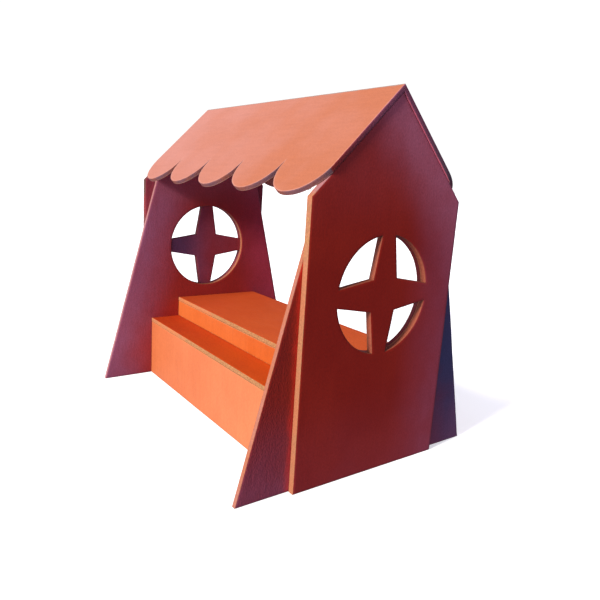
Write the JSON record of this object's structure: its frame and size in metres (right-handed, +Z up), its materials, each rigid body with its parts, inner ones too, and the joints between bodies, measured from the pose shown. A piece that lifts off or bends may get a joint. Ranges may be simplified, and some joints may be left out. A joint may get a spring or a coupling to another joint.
{
  "type": "birdhouse",
  "caption": "Open gabled plywood birdhouse with a scalloped roof, doubled end walls with round cross-barred windows, flared feet and a stepped base.",
  "frame": {"origin": "on the ground, under the middle of the house", "axes": "+X along the ridge towards the right-hand end wall, -Y out of the front with the lower step, +Z up"},
  "size_m": [0.504, 0.4, 0.4955],
  "materials": {
    "red_paint": "rolled dark red paint on plywood, satin, with orange painted edges",
    "orange_paint": "rolled orange paint on plywood, satin, rubbed thin along its edges",
    "bare_pine": "planed bare pine",
    "zinc_screw": "zinc plated"
  },
  "bodies": {
    "root": {"back_corner_cleat_left": "bare_pine", "back_corner_cleat_right": "bare_pine", "back_corner_cleat_screw_left_1": "zinc_screw", "back_corner_cleat_screw_left_2": "zinc_screw", "back_corner_cleat_screw_right_1": "zinc_screw", "back_corner_cleat_screw_right_2": "zinc_screw", "back_panel": "orange_paint", "front_corner_cleat_left": "bare_pine", "front_corner_cleat_right": "bare_pine", "front_corner_cleat_screw_left_1": "zinc_screw", "front_corner_cleat_screw_left_2": "zinc_screw", "front_corner_cleat_screw_right_1": "zinc_screw", "front_corner_cleat_screw_right_2": "zinc_screw", "front_panel": "orange_paint", "gable_strip_back_left": "bare_pine", "gable_strip_back_right": "bare_pine", "gable_strip_front_left": "bare_pine", "gable_strip_front_right": "bare_pine", "gable_strip_screw_back_left": "zinc_screw", "gable_strip_screw_back_right": "zinc_screw", "gable_strip_screw_front_left": "zinc_screw", "gable_strip_screw_front_right": "zinc_screw", "inner_end_wall_left": "red_paint", "inner_end_wall_right": "red_paint", "lower_tread": "orange_paint", "lower_tread_screw_left": "zinc_screw", "lower_tread_screw_right": "zinc_screw", "outer_end_wall_left": "red_paint", "outer_end_wall_right": "red_paint", "platform": "orange_paint", "platform_cleat_left": "bare_pine", "platform_cleat_right": "bare_pine", "platform_cleat_screw_left_1": "zinc_screw", "platform_cleat_screw_left_2": "zinc_screw", "platform_cleat_screw_right_1": "zinc_screw", "platform_cleat_screw_right_2": "zinc_screw", "platform_screw_left": "zinc_screw", "platform_screw_right": "zinc_screw", "ridge_strip": "bare_pine", "roof_board_back": "orange_paint", "roof_board_front": "orange_paint", "roof_screw_back_left_1": "zinc_screw", "roof_screw_back_left_2": "zinc_screw", "roof_screw_back_right_1": "zinc_screw", "roof_screw_back_right_2": "zinc_screw", "roof_screw_front_left_1": "zinc_screw", "roof_screw_front_left_2": "zinc_screw", "roof_screw_front_right_1": "zinc_screw", "roof_screw_front_right_2": "zinc_screw", "tread_cleat_left": "bare_pine", "tread_cleat_right": "bare_pine", "tread_cleat_screw_left_1": "zinc_screw", "tread_cleat_screw_right_1": "zinc_screw", "tread_rail": "bare_pine", "upper_riser": "orange_paint"}
  },
  "joints": []
}
